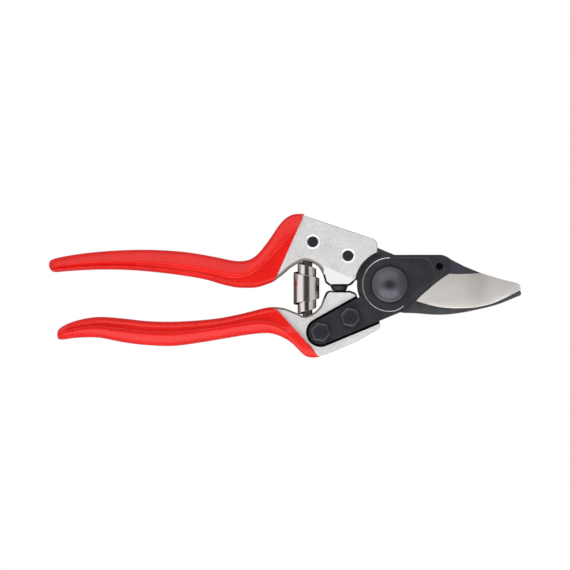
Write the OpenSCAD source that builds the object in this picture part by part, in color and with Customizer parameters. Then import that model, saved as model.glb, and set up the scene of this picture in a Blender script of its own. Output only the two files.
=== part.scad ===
// Bypass pruning shears, closed, lying on their back face.
// X runs along the tool towards the blade tip, Y across it, Z up; the pivot axis is Z.
// Z = 0 is the plane that the adjusting nut and both grips rest on.

/* [Handles] */
// Length of each grip, from its ferrule line to its tip
grip_length = 100; // [85:1:125]
// Depth of the grips' outer flange
grip_depth = 16; // [14:0.5:19]
// Depth of the thin web on the hand side of the grips
web_depth = 11.2; // [10.4:0.2:13]
// Share of the grip's width taken by the outer flange
flange_share = 0.6; // [0.45:0.05:0.7]
// Depth of the forged core inside the grips
core_depth = 5; // [3:0.5:7]
// Thickness of the front cheek of the hook handle
front_cheek = 3.4; // [2.6:0.1:4.2]
// Thickness of the back cheek of the hook handle
back_cheek = 2.8; // [2.4:0.1:3.4]
// How far the rim beside the blade's tang stays below the tang's face
rim_drop = 0.9; // [0.4:0.1:1.8]
// Gap between the tang and the rim of its pocket
pocket_gap = 1.3; // [0.8:0.1:1.8]

/* [Jaws] */
// Reach of the jaws in front of the pivot axis
jaw_reach = 58.6; // [50:0.5:70]
// Thickness of the cutting blade
blade_t = 3.3; // [2.6:0.1:4.2]
// Thickness of the counter-blade
counter_t = 3.8; // [3:0.1:5]
// Radius of the cutting blade's pivot disc
blade_disc_r = 13.2; // [12.4:0.1:13.6]
// Radius of the counter-blade's pivot disc
counter_disc_r = 14.3; // [13.7:0.1:14.8]
// Radius of the arcs in both handles that clear the pivot discs
relief_r = 15.2; // [15.1:0.1:16]
// Rise of the ground bevel per millimetre away from the edge
bevel_rise = 0.18; // [0.12:0.01:0.19]
// Gap between the two blades
blade_gap = 0.1; // [0.05:0.01:0.2]

/* [Pivot] */
// Radius of the pivot bolt's shank
bolt_r = 4; // [3:0.1:5]
// Radius of the bolt's domed head
dome_r = 7.7; // [6.6:0.1:9]
// Height of the bolt's domed head
dome_h = 3.8; // [2.4:0.1:5]
// Thickness of the friction washer under the domed head
friction_t = 0.4; // [0.3:0.1:0.8]
// Radius of the adjusting nut over its teeth
nut_r = 9.3; // [8.6:0.1:10]
// Thickness of the adjusting nut
nut_t = 4.4; // [3.6:0.1:5]
// Number of teeth on the adjusting nut
nut_teeth = 24; // [16:1:30]
// Thickness of the washer between the nut and the counter-blade
washer_t = 1.4; // [1:0.1:2]
// Radial clearance of a turning fit
running_gap = 0.05; // [0.03:0.01:0.08]
// Radial clearance of a threaded or seated fit
seat_gap = 0.03; // [0.02:0.01:0.05]

/* [Fasteners] */
// Radius of the rivets through the cheeks
rivet_r = 2.3; // [1.8:0.1:2.8]
// Width of the bright countersink round each rivet
rivet_ring = 0.5; // [0.3:0.1:0.8]
// Radius of the blade bolts
blade_bolt_r = 2.5; // [2:0.1:3]
// Width across flats of the blade bolts' heads and nuts
hex_af = 8; // [7:0.1:9]
// Height of the blade bolts' heads
hex_h = 2.6; // [1.8:0.1:3.5]
// Thickness of the blade bolts' nuts
hex_nut_t = 3.2; // [2.4:0.1:3.6]
// Radius of the small screws on the back
screw_r = 1.5; // [1.2:0.1:1.8]
// Radius of the small screws' heads
screw_head_r = 2.6; // [2.2:0.1:3]

/* [Spring and bumper] */
// Height of the volute spring between its seats
spring_h = 23.4; // [20:0.2:23.6]
// Width of the spring's strip
strip_w = 6.4; // [5:0.1:7]
// Thickness of the spring's strip
strip_t = 0.5; // [0.4:0.05:0.6]
// Largest radius of the spring
spring_r = 5.8; // [5.2:0.1:6]
// Radius of the seat pegs inside the spring's ends
peg_r = 1.4; // [1:0.1:1.5]
// Radius of the bumper where it meets its seat
bumper_r = 4; // [3:0.1:4.6]
// Gap that stays under the closed bumper
bumper_gap = 0.1; // [0.05:0.01:0.3]

/* [Catch] */
// Thickness of the thumb catch
catch_t = 1.6; // [1.2:0.1:1.8]
// Distance from the catch's screw to its stud
catch_arm = 14; // [13.4:0.1:14.6]
// Turn between the locked and the released catch
catch_turn = 24; // [22:1:28]
// Radius of the stud that the catch closes on
stud_r = 1.6; // [1.2:0.1:1.9]
// Clearance of the catch's slot round the stud
slot_gap = 0.25; // [0.15:0.05:0.4]

/* [Hidden] */
$fn = 64;

// Levels, from the resting plane up
nut_top = nut_t;
counter_z = nut_top + washer_t;
counter_top = counter_z + counter_t;
blade_z = counter_top + blade_gap;
blade_top = blade_z + blade_t;
head_z = counter_z - back_cheek;
head_top = counter_top + front_cheek;
head_mid = (head_z + head_top) / 2;
rim_top = blade_top - rim_drop;
friction_z = blade_top + running_gap;
dome_z = friction_z + friction_t;
catch_z = head_z - running_gap - catch_t;
catch_washer_t = 0.4;
catch_head_t = 0.8;

// Places of the fasteners
front_rivet = [-18.4, 12.7];
rear_rivet = [-34, 18.9];
front_bolt = [-17.4, -14.5];
rear_bolt = [-30.6, -21.1];
catch_pivot = [-25.6, 4.4];
stud_angle = -86;
segment_angle = -35;
segment_reach = 12.6;
hex_tilt = -12;
spring_axis_x = -37;
spring_mid_y = -1.5;
bumper_x = -22.2;
upper_seat_y = -0.6;
lower_seat_y = -2.7;

// A smooth curve through hand-placed knots, with s steps in each span
function spline(p, s = 5) = let (n = len(p)) [
  for (i = [0 : n - 2]) for (k = [0 : s - 1])
    let (t = k / s, a = p[max(i - 1, 0)], b = p[i], c = p[i + 1], d = p[min(i + 2, n - 1)])
      0.5 * (2 * b + (c - a) * t + (2 * a - 5 * b + 4 * c - d) * t * t + (3 * b - a - 3 * c + d) * t * t * t),
  p[n - 1]
];
function mix(a, b, t) = [for (i = [0 : len(a) - 1]) a[i] * (1 - t) + b[i] * t];
function backwards(p) = [for (i = [len(p) - 1 : -1 : 0]) p[i]];
function arc(r, from, to, steps = 8) = [for (i = [0 : steps]) r * [cos(from + (to - from) * i / steps),
  sin(from + (to - from) * i / steps)]];
function polar(r, a) = [r * cos(a), r * sin(a)];
function shifted(p, by) = [for (q = p) q + by];

// Grip knots are laid out for this length and stretched beyond the ferrule lines
laid_grip = 100;
ferrule_x = -51;
function stretch_grip(p) = [for (q = p)
  q.x > ferrule_x ? q : [ferrule_x + (q.x - ferrule_x) * grip_length / laid_grip, q.y]];

hook_outer = spline(stretch_grip([[-151.3, 8.3], [-150.2, 10.9], [-144, 12.6], [-132, 14.3], [-118, 15.3],
  [-104, 15.4], [-90, 14.4], [-78, 12.4], [-67, 10.4], [-60, 12.2], [-54, 19], [-47, 28.5], [-38.3, 31.5]]));
hook_inner = spline(stretch_grip([[-151.3, 8.3], [-149.2, 5.6], [-142, 6], [-130, 6.6], [-117, 6.5],
  [-104, 5.5], [-92, 4], [-82, 2.3], [-74, 0], [-68, -1.3], [-62, -1.5], [-57, -0.7], [-51.5, 1.3]]));
blade_outer = spline(stretch_grip([[-147.6, -22.4], [-146.3, -24.5], [-139, -23.7], [-129, -23.6],
  [-118, -25.7], [-108, -26.9], [-96, -27.3], [-84, -25.8], [-72, -23.8], [-61, -22.1], [-52, -21.8],
  [-44, -25.4], [-37, -31.9], [-31, -32.2]]));
blade_inner = spline(stretch_grip([[-147.6, -22.4], [-146.4, -19.4], [-140, -16.3], [-130, -14.4],
  [-119, -15], [-108, -16.2], [-97, -16.5], [-86, -16], [-76, -15], [-68, -13.5], [-62, -12.1],
  [-57, -10.8], [-53.5, -10.1], [-51, -10]]));

// Jaw knots are laid out for this reach and stretched beyond the neck
laid_reach = 58.6;
neck_x = 24;
function stretch_jaw(p) = [for (q = p)
  q.x < neck_x ? q : [neck_x + (q.x - neck_x) * (jaw_reach - neck_x) / (laid_reach - neck_x), q.y]];
edge_line = spline(stretch_jaw([[11.7, -7.2], [17, -8.8], [24, -10.2], [31, -10.5], [38, -10.1], [45, -8.6],
  [51.5, -5.9], [58.1, -2.6]]), 4);
spine_line = spline(stretch_jaw([[23, 13.2], [26, 11.9], [33, 8.2], [40.5, 5.1], [50, 2.3], [57, 0.3]]), 4);
jaw_outer = spline(stretch_jaw([[6, -12.6], [12, -12.8], [20, -13.4], [28, -13.1], [38, -11.4], [48, -8.9],
  [56, -5.7], [58.2, -4.8], [58.6, -3.6], [58, -2.5]]), 4);
jaw_inner = spline(stretch_jaw([[13.2, -3], [16, -5.4], [20, -7], [27, -8.1], [34, -8.1], [41, -6.9],
  [48, -4.9], [54, -3.1], [58, -2.5]]), 4);

module outline(points, z, h) translate([0, 0, z]) linear_extrude(h) polygon(points);

module at(p, z = 0) translate([p.x, p.y, z]) children();

// One handle's core: a band between its edges, from near the tip into its head
module core(outer, inner, head_end) {
  skip = 9;
  kept = [for (i = [skip : len(outer) - 1]) i];
  upper = mix(outer, inner, 0.3);
  lower = mix(outer, inner, 0.7);
  outline(concat([for (i = kept) upper[i]], head_end, backwards([for (i = kept) lower[i]])),
    head_mid - core_depth / 2, core_depth);
}

// One handle's grip: a deep outer flange and a thinner web, hollow for the core
module grip(outer, inner, head_end) {
  flange_edge = mix(outer, inner, flange_share);
  difference() {
    union() {
      outline(concat(outer, backwards(inner)), head_mid - web_depth / 2, web_depth);
      outline(concat(outer, backwards(flange_edge)), 0, grip_depth);
    }
    core(outer, inner, head_end);
  }
}

hook_core_end = [[-39, 20.5], [-43.5, 11.5]];
blade_core_end = [[-32, -26], [-41.5, -17.5]];

spring_arch_top = spline([[-28.4, 0.9], [-29.3, 4.5], [-31.5, 8.8], [-37.5, 11.1], [-43, 8.7], [-47, 5.5],
  [-51.5, 1.3]]);
spring_arch_bottom = spline([[-51, -10], [-46.5, -10.8], [-42, -12.8], [-37.3, -14.8], [-33, -12.7],
  [-30.3, -9.6], [-29, -6], [-28, -3.4]]);

module hook_head() outline(concat([[-38.3, 31.5], [-20, 25.2], [-8, 20.6]],
  shifted(arc(2.4, 60, 0, 4), [-7.7, 18]), [[-5.3, 10], [-13, 1.6], [-15.4, 1.3], [-16.4, 0], [-17.8, upper_seat_y],
  [-26.6, upper_seat_y]], spring_arch_top), head_z, head_top - head_z);

// The counter-blade's tang, which fills the slot between the cheeks
module counter_tang() translate([0, 0, counter_z]) linear_extrude(counter_t) {
  polygon([[4, 13.3], [-5.3, 16.4], [-32.6, 24.2], [-36.3, 13.9], [-14.2, 1.6], [0, 0]]);
  translate(rear_rivet) circle(r = 5.5);
}

module spring_peg(y, length) translate([spring_axis_x, y, head_mid]) rotate([90, 0, 0])
  cylinder(r = peg_r, h = length, center = true);

module bumper_stem(gap) translate([bumper_x, upper_seat_y - 0.2, head_mid]) rotate([-90, 0, 0])
  cylinder(r = 1.6 + gap, h = 4.2 + gap);

module hook_handle() color("silver") {
  difference() {
    union() {
      hook_head();
      core(hook_outer, hook_inner, hook_core_end);
    }
    counter_tang();
    translate([0, 0, head_z - 1]) cylinder(r = relief_r, h = head_top, $fn = 96);
    for (p = [front_rivet, rear_rivet]) {
      at(p, head_z - 1) cylinder(r = rivet_r + seat_gap, h = head_top);
      at(p, head_top - rivet_ring) cylinder(r1 = rivet_r + seat_gap, r2 = rivet_r + rivet_ring, h = rivet_ring + 0.001);
    }
    at(catch_pivot, head_z - 1) cylinder(r = screw_r + seat_gap, h = 6.6);
    bumper_stem(seat_gap);
  }
  spring_peg(9.6, 5);
}

module hook_handle_grip() color("red") grip(hook_outer, hook_inner, hook_core_end);

module counter_blade() color([0.25, 0.25, 0.27]) difference() {
  union() {
    counter_tang();
    translate([0, 0, counter_z]) cylinder(r = counter_disc_r, h = counter_t, $fn = 96);
    outline(concat([[0, -8]], jaw_outer, backwards(jaw_inner), [[8, 2]]), counter_z, counter_t);
  }
  cylinder(r = bolt_r + seat_gap, h = head_top);
  for (p = [front_rivet, rear_rivet]) at(p) cylinder(r = rivet_r + seat_gap, h = head_top);
  at(polar(segment_reach, segment_angle)) cylinder(r = screw_r + seat_gap, h = head_top);
}

module rivet(p) color([0.2, 0.2, 0.22]) at(p, head_z) cylinder(r = rivet_r, h = head_top - head_z);
module hook_rivet_front() rivet(front_rivet);
module hook_rivet_rear() rivet(rear_rivet);

module bumper() color([0.1, 0.1, 0.1]) {
  bumper_h = upper_seat_y - lower_seat_y - bumper_gap;
  translate([bumper_x, upper_seat_y - bumper_h, head_mid]) rotate([-90, 0, 0])
    cylinder(r1 = bumper_r - 0.9, r2 = bumper_r, h = bumper_h);
  bumper_stem(0);
}

module pivot_bolt() color([0.15, 0.15, 0.17]) {
  cylinder(r = bolt_r, h = dome_z + 0.5);
  crown_r = (dome_r * dome_r + dome_h * dome_h) / (2 * dome_h);
  intersection() {
    translate([0, 0, dome_z + dome_h - crown_r]) sphere(r = crown_r, $fn = 96);
    translate([0, 0, dome_z]) cylinder(r = dome_r, h = dome_h + 1);
  }
}

module ring(r_out, r_in, z, h) translate([0, 0, z]) difference() {
  cylinder(r = r_out, h = h);
  translate([0, 0, -1]) cylinder(r = r_in, h = h + 2);
}

module friction_washer() color([0.3, 0.3, 0.3]) ring(dome_r + 0.7, bolt_r + seat_gap, friction_z, friction_t);
module nut_washer() color("silver") ring(8, bolt_r + seat_gap, nut_top, washer_t);

tooth_w = 1;
tooth_depth = 0.9;
module nut_profile(gap) {
  circle(r = nut_r - tooth_depth + gap);
  for (i = [0 : nut_teeth - 1]) rotate(segment_angle + i * 360 / nut_teeth)
    translate([nut_r / 2 + gap / 2, 0]) square([nut_r + gap, tooth_w + 2 * gap], center = true);
}

module adjusting_nut() color([0.2, 0.2, 0.22]) difference() {
  linear_extrude(nut_t) nut_profile(0);
  translate([0, 0, -1]) cylinder(r = bolt_r + seat_gap, h = nut_t + 2);
}

segment_z = 2.2;
module locking_segment() color("gray") translate([0, 0, segment_z]) difference() {
  linear_extrude(counter_z - segment_z) difference() {
    polygon(concat(arc(nut_r - 0.6, segment_angle - 26, segment_angle + 26),
      backwards(arc(14.6, segment_angle - 22, segment_angle + 22))));
    nut_profile(0.1);
  }
  at(polar(segment_reach, segment_angle), -1) cylinder(r = screw_r + seat_gap, h = counter_z);
}

module segment_screw() color("gray") at(polar(segment_reach, segment_angle)) {
  translate([0, 0, segment_z - 1.2]) cylinder(r = screw_head_r - 0.4, h = 1.2);
  translate([0, 0, segment_z - 0.1]) cylinder(r = screw_r, h = counter_top - segment_z - 0.2);
}

module catch_screw() color("gray") at(catch_pivot) {
  head_bottom = catch_z - running_gap - catch_washer_t - catch_head_t;
  translate([0, 0, head_bottom]) cylinder(r = screw_head_r + 0.6, h = catch_head_t);
  translate([0, 0, head_bottom + 0.2]) cylinder(r = screw_r, h = head_z + 5 - head_bottom);
}

module catch_washer() color("silver") at(catch_pivot, catch_z - running_gap - catch_washer_t) difference() {
  cylinder(r = screw_head_r + 1, h = catch_washer_t);
  translate([0, 0, -1]) cylinder(r = screw_r + seat_gap, h = catch_washer_t + 2);
}

// The hook's turns behind and ahead of the stud, seen from the catch's screw
hook_behind = 11;
hook_ahead = 14;
catch_eye_r = 3.4;
// The catch is laid out locked, then turned to its released rest place
module thumb_catch() color("red") at(catch_pivot, catch_z) rotate(catch_turn) difference() {
  union() {
    linear_extrude(catch_t) {
      circle(r = catch_eye_r);
      polygon([polar(catch_eye_r, 175), polar(catch_arm - 3, stud_angle - 9), polar(catch_arm - 3, stud_angle + 12),
        polar(catch_eye_r, 0)]);
      polygon(concat(arc(catch_arm - 4.4, stud_angle - hook_behind, stud_angle + hook_ahead),
        backwards(arc(catch_arm + stud_r + slot_gap + 2.6, stud_angle - hook_behind, stud_angle + hook_ahead))));
      polygon([polar(catch_eye_r, 0), polar(13, 72), polar(13, 98), polar(catch_eye_r, 175)]);
      translate(polar(13.5, 84)) circle(r = 4);
    }
    for (i = [-1 : 1]) translate(polar(13.5 + 2.2 * i, 84)) rotate(84 + 90)
      translate([-2.4, -0.4, -0.5]) cube([4.8, 0.8, 1]);
  }
  translate([0, 0, -1]) cylinder(r = screw_r + running_gap, h = catch_t + 2);
  translate([0, 0, -1]) linear_extrude(catch_t + 2) {
    slot_r = stud_r + slot_gap;
    polygon(concat(arc(catch_arm - slot_r, stud_angle - 20, stud_angle),
      backwards(arc(catch_arm + slot_r, stud_angle - 20, stud_angle))));
    translate(polar(catch_arm, stud_angle)) circle(r = slot_r);
  }
}

module blade_head() outline(concat(spring_arch_bottom, [[-26.8, lower_seat_y], [-17.4, lower_seat_y], [-15.4, -3.5],
  [-8, -8], [-4.3, -10], [-4.3, -18.6]], shifted(arc(2.2, -20, -62, 4), [-6.4, -18.2]),
  [[-14, -25], [-26, -30.2], [-31, -32.2]]), head_z, rim_top - head_z);

// Plan of the blade's tang, grown by a gap for its pocket
tang_end = [-30.5, -21.2];
module tang_plan(gap) {
  end_r = 5.3 + gap;
  upper = 120;
  lower = 292.7;
  polygon([[-12.2, -4.9] + polar(gap, upper), tang_end + polar(end_r, upper), tang_end,
    tang_end + polar(end_r, lower), polar(blade_disc_r + gap, lower), [0, 0]]);
  translate(tang_end) circle(r = end_r);
}

stud_at = catch_pivot + polar(catch_arm, stud_angle);

module blade_handle() color("silver") {
  difference() {
    union() {
      blade_head();
      core(blade_outer, blade_inner, blade_core_end);
    }
    translate([0, 0, blade_z]) linear_extrude(blade_t) tang_plan(pocket_gap);
    translate([0, 0, head_z - 1]) cylinder(r = relief_r, h = head_top, $fn = 96);
    for (p = [front_bolt, rear_bolt]) {
      at(p, head_z - 1) cylinder(r = blade_bolt_r + seat_gap, h = head_top);
      at(p, head_z - 1) rotate(hex_tilt) cylinder(d = (hex_af + 2 * seat_gap) / cos(30), h = hex_nut_t + 1, $fn = 6);
    }
    at(stud_at, head_z - 1) cylinder(r = 1 + seat_gap, h = 5);
  }
  spring_peg(-13.2, 5);
}

module blade_handle_grip() color("red") grip(blade_outer, blade_inner, blade_core_end);

// The ground bevel falls from the blade's face to its edge, behind a slanted shoulder
bevel_corner = [26.5, 4.8];
module bevel_cut() intersection() {
  outline([[10.8, -8], bevel_corner, [bevel_corner.x, 20], [jaw_reach + 9, 20], [jaw_reach + 9, -20], [10.8, -20]],
    blade_z, blade_t + 1);
  at(bevel_corner, blade_top) rotate([atan(bevel_rise), atan(0.03), 0])
    translate([-60, -60, 0]) cube([140, 120, 20]);
}

module cutting_blade() color([0.2, 0.2, 0.22]) difference() {
  union() {
    translate([0, 0, blade_z]) linear_extrude(blade_t) tang_plan(0);
    translate([0, 0, blade_z]) cylinder(r = blade_disc_r, h = blade_t, $fn = 96);
    outline(concat([[0, blade_disc_r]], spine_line, [[jaw_reach - 0.5, -1.2]], backwards(edge_line), [[0, 0]]),
      blade_z, blade_t);
  }
  translate([0, 0, blade_z - 1]) cylinder(r = bolt_r + running_gap, h = blade_t + 2);
  for (p = [front_bolt, rear_bolt]) at(p, blade_z - 1) cylinder(r = blade_bolt_r + seat_gap, h = blade_t + 2);
  at([22.2, 8.1], blade_z - 1) cylinder(r = 1.6, h = blade_t + 2);
  bevel_cut();
}

module blade_bolt(p) color([0.15, 0.15, 0.17]) at(p) {
  translate([0, 0, head_z]) cylinder(r = blade_bolt_r, h = blade_top - head_z + 0.5);
  translate([0, 0, blade_top]) rotate(hex_tilt) cylinder(d = hex_af / cos(30), h = hex_h, $fn = 6);
}
module blade_bolt_front() blade_bolt(front_bolt);
module blade_bolt_rear() blade_bolt(rear_bolt);

module blade_nut(p) color("gray") at(p, head_z) difference() {
  rotate(hex_tilt) cylinder(d = hex_af / cos(30), h = hex_nut_t, $fn = 6);
  translate([0, 0, -1]) cylinder(r = blade_bolt_r + seat_gap, h = hex_nut_t + 2);
}
module blade_nut_front() blade_nut(front_bolt);
module blade_nut_rear() blade_nut(rear_bolt);

module catch_stud() color("silver") at(stud_at) {
  translate([0, 0, catch_z]) cylinder(r = stud_r, h = head_z - catch_z);
  translate([0, 0, head_z - 0.1]) cylinder(r = 1, h = 3.9);
}

// The spring's strip winds out to its widest turn at mid height and back in below it.
// The middle turn climbs by more than the strip's width, so its two halves pass each other.
spring_turns = 2;
spring_steps = 20;
spring_narrowing = 1.5;
middle_climb = strip_w + 0.8;
end_climb = (spring_h - strip_w - middle_climb) / (2 * spring_turns - 1);
function coil_r(u) = spring_r - strip_t / 2 - spring_narrowing * abs(u);
function coil_y(u) = abs(u) < 0.5 ? u * middle_climb : sign(u) * (middle_climb / 2 + (abs(u) - 0.5) * end_climb);
function strip_ring(u) = let (r = coil_r(u), a = 360 * u)
  [for (c = [[-1, -1], [1, -1], [1, 1], [-1, 1]])
    [(r + c.x * strip_t / 2) * cos(a), coil_y(u) + c.y * strip_w / 2, (r + c.x * strip_t / 2) * sin(a)]];
module return_spring() color("lightgray") translate([spring_axis_x, spring_mid_y, head_mid]) {
  total = 2 * spring_turns * spring_steps;
  points = [for (i = [0 : total]) each strip_ring(-spring_turns + i / spring_steps)];
  sides = [for (i = [0 : total - 1]) for (k = [0 : 3]) let (a = 4 * i + k, b = 4 * i + (k + 1) % 4)
    each [[a, b, b + 4], [a, b + 4, a + 4]]];
  polyhedron(points, concat([[3, 2, 1, 0]], sides, [[for (k = [0 : 3]) 4 * total + k]]), convexity = 8);
}

hook_handle();
hook_handle_grip();
counter_blade();
hook_rivet_front();
hook_rivet_rear();
bumper();
pivot_bolt();
friction_washer();
nut_washer();
adjusting_nut();
locking_segment();
segment_screw();
catch_screw();
catch_washer();
thumb_catch();
blade_handle();
blade_handle_grip();
cutting_blade();
blade_bolt_front();
blade_bolt_rear();
blade_nut_front();
blade_nut_rear();
catch_stud();
return_spring();
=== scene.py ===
import math

import bmesh
import bpy
from mathutils import Matrix, Vector


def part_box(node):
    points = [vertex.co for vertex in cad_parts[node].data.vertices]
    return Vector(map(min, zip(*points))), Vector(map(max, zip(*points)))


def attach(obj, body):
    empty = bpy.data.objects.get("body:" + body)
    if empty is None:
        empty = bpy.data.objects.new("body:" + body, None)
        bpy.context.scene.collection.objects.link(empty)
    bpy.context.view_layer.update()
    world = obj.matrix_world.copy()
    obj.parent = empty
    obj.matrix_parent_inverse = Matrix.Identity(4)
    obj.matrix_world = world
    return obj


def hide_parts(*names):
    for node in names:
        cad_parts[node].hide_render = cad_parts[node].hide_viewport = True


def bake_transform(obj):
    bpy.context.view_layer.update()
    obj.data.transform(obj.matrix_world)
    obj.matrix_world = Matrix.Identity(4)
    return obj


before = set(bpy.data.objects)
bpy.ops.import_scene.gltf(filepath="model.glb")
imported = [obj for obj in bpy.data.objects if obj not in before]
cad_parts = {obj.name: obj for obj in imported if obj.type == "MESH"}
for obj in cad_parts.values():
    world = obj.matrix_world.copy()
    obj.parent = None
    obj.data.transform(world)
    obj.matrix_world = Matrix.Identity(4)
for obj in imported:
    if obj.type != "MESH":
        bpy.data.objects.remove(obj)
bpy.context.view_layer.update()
mm = 0.001


def span(node, axis):
    low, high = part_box(node)  # lowest and highest place of a node along one axis, in millimetres
    return low[axis] / mm, high[axis] / mm


headLow, headHigh = span("hook_rivet_front", 2)
counterLow, counterHigh = span("counter_blade", 2)
bladeLow, bladeHigh = span("cutting_blade", 2)
gripLow, gripHigh = span("hook_handle_grip", 2)
boltLow, domeTop = span("pivot_bolt", 2)
headMid = (headLow + headHigh) / 2
print("levels", headLow, counterLow, bladeLow, bladeHigh, domeTop)


def toLinear(hexColour):
    channels = [int(hexColour[i:i + 2], 16) / 255 for i in (0, 2, 4)]
    return [c / 12.92 if c <= 0.04045 else ((c + 0.055) / 1.055) ** 2.4 for c in channels] + [1.0]


def addNode(tree, kind, inputs=None, **settings):
    node = tree.nodes.new(kind)
    for name, value in settings.items():
        setattr(node, name, value)
    for name, value in (inputs or {}).items():
        if isinstance(value, bpy.types.NodeSocket):
            tree.links.new(value, node.inputs[name])
        else:
            node.inputs[name].default_value = value
    return node


def newMaterial(name):
    material = bpy.data.materials.new(name)
    material.use_nodes = True
    material.node_tree.nodes.clear()
    return material, material.node_tree


def noise(tree, size, stretch=(1, 1, 1), detail=3.0, roughness=0.55):
    # size is the width of one grain in millimetres, stretch makes it longer along an axis
    place = addNode(tree, "ShaderNodeTexCoord")
    mapping = addNode(tree, "ShaderNodeMapping", {"Vector": place.outputs["Object"],
                                                  "Scale": [1 / s for s in stretch]})
    return addNode(tree, "ShaderNodeTexNoise", {"Vector": mapping.outputs["Vector"], "Scale": 1 / (size * mm),
                                                "Detail": detail, "Roughness": roughness}).outputs["Fac"]


def blendColours(tree, factor, first, second, low=0.35, high=0.65):
    ramp = addNode(tree, "ShaderNodeValToRGB", {"Fac": factor})
    for stop, place, colour in zip(ramp.color_ramp.elements, (low, high), (first, second)):
        stop.position = place
        stop.color = toLinear(colour)
    return ramp.outputs["Color"]


def rangeOf(tree, value, low, high):
    return addNode(tree, "ShaderNodeMapRange", {"Value": value, "From Min": 0.3, "From Max": 0.7,
                                                "To Min": low, "To Max": high}).outputs["Result"]


def bumps(tree, height, depth):
    # depth is the height of the pattern in millimetres
    return addNode(tree, "ShaderNodeBump", {"Height": height, "Strength": 1.0,
                                            "Distance": depth * mm}).outputs["Normal"]


def finishMaterial(tree, inputs):
    shader = addNode(tree, "ShaderNodeBsdfPrincipled", inputs)
    addNode(tree, "ShaderNodeOutputMaterial", {"Surface": shader.outputs["BSDF"]})


def castAluminium():
    # die-cast and tumbled: pale satin grey with a faint cloud and a fine grain
    material, tree = newMaterial("tumbledCastAluminium")
    cloud = noise(tree, 5)
    grain = noise(tree, 0.55, detail=2)
    speckle = noise(tree, 1.1, detail=4, roughness=0.7)
    finishMaterial(tree, {
        "Base Color": blendColours(tree, speckle, "EAEAEA", "D3D3D4", 0.3, 0.7), "Metallic": 1.0,
        "Roughness": rangeOf(tree, cloud, 0.58, 0.68), "Normal": bumps(tree, grain, 0.012)})
    return material


def shadeFlankMaterial(name="paintedShadeAluminium", dark="6C655F", light="7F7872"):
    # painted shade: a darker, slightly brown grey for edges, walls and flanks, standing in for the shade they fall into
    material, tree = newMaterial(name)
    cloud = noise(tree, 2.5)
    grain = noise(tree, 0.5, detail=2)
    finishMaterial(tree, {
        "Base Color": blendColours(tree, cloud, dark, light), "Metallic": 1.0,
        "Roughness": rangeOf(tree, cloud, 0.4, 0.5), "Normal": bumps(tree, grain, 0.015)})
    return material


def cutAluminium(name="machinedAluminium", colour="F4F4F3", roughness=0.24):
    # the same metal freshly cut: lighter and smoother, in the rings round the rivets and on ground facets
    material, tree = newMaterial(name)
    turned = noise(tree, 0.3, detail=1)
    finishMaterial(tree, {
        "Base Color": toLinear(colour), "Metallic": 1.0,
        "Roughness": rangeOf(tree, turned, roughness, roughness + 0.1), "Normal": bumps(tree, turned, 0.004)})
    return material


def dippedVinyl():
    # vinyl dip coat: saturated red, glossy, with a slow orange peel
    material, tree = newMaterial("dippedVinyl")
    peel = noise(tree, 2.6, detail=2)
    cloud = noise(tree, 14)
    finishMaterial(tree, {
        "Base Color": blendColours(tree, cloud, "E4201A", "DB1B16"), "Roughness": rangeOf(tree, peel, 0.26, 0.32),
        "IOR": 1.42, "Specular IOR Level": 0.4, "Subsurface Weight": 0.08, "Subsurface Radius": (0.9, 0.12, 0.08),
        "Subsurface Scale": 1.2 * mm, "Normal": bumps(tree, peel, 0.002)})
    return material


def coatedBlade(name="coatedBladeSteel", dark="29292D", light="2F2F34"):
    # hardened steel with a baked low-friction coat: near black, satin, slightly bluish
    material, tree = newMaterial(name)
    grain = noise(tree, 0.4, detail=2)
    cloud = noise(tree, 7)
    finishMaterial(tree, {
        "Base Color": blendColours(tree, cloud, dark, light), "IOR": 1.4,
        "Roughness": rangeOf(tree, cloud, 0.36, 0.44), "Normal": bumps(tree, grain, 0.004)})
    return material


def coatedCounterBlade():
    # forged steel under the same coat: a shade greyer and rougher
    material, tree = newMaterial("coatedForgedSteel")
    grain = noise(tree, 0.5, detail=2)
    cloud = noise(tree, 6)
    finishMaterial(tree, {
        "Base Color": blendColours(tree, cloud, "3C3C3F", "464648"), "IOR": 1.45,
        "Roughness": rangeOf(tree, cloud, 0.42, 0.52), "Normal": bumps(tree, grain, 0.008)})
    return material


def groundSteel():
    # the blade's ground face: bare steel, fine lines across the edge, drawn coarser than the real grit to show
    material, tree = newMaterial("groundSteel")
    lines = noise(tree, 0.35, stretch=(1, 40, 40), detail=2)
    cloud = noise(tree, 12, detail=1)
    finishMaterial(tree, {
        "Base Color": blendColours(tree, cloud, "CCC8C3", "C2BEB9"), "Metallic": 1.0,
        "Roughness": rangeOf(tree, lines, 0.42, 0.5), "Normal": bumps(tree, lines, 0.002)})
    return material


def blackOxide(name="blackOxideSteel", roughness=0.3, ior=1.8):
    # blackened turned steel: dark, glossy, with broad soft highlights
    material, tree = newMaterial(name)
    haze = noise(tree, 1.2, detail=2)
    finishMaterial(tree, {
        "Base Color": blendColours(tree, haze, "1A1A20", "202028"), "IOR": ior, "Specular Tint": (0.88, 0.88, 1.0, 1.0),
        "Roughness": rangeOf(tree, haze, roughness, roughness + 0.07), "Normal": bumps(tree, haze, 0.002)})
    return material


def edgeHighlightMaterial():
    # a paler grey line painted on an edge as a highlight
    material, tree = newMaterial("paintedHighlightEdge")
    highlightCloud = noise(tree, 1.5)
    finishMaterial(tree, {
        "Base Color": blendColours(tree, highlightCloud, "B4B4B8", "D6D6DA"), "Metallic": 1.0,
        "Roughness": rangeOf(tree, highlightCloud, 0.3, 0.4)})
    return material


def shadowBlackMaterial():
    # painted shadow: near black in the pocket round the tang, a dark line between blade and handle
    material, tree = newMaterial("paintedShadowBlack")
    shadowCloud = noise(tree, 1.0)
    finishMaterial(tree, {
        "Base Color": blendColours(tree, shadowCloud, "111112", "1A1A1B"), "IOR": 1.35,
        "Roughness": rangeOf(tree, shadowCloud, 0.6, 0.75), "Normal": bumps(tree, shadowCloud, 0.01)})
    return material


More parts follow.
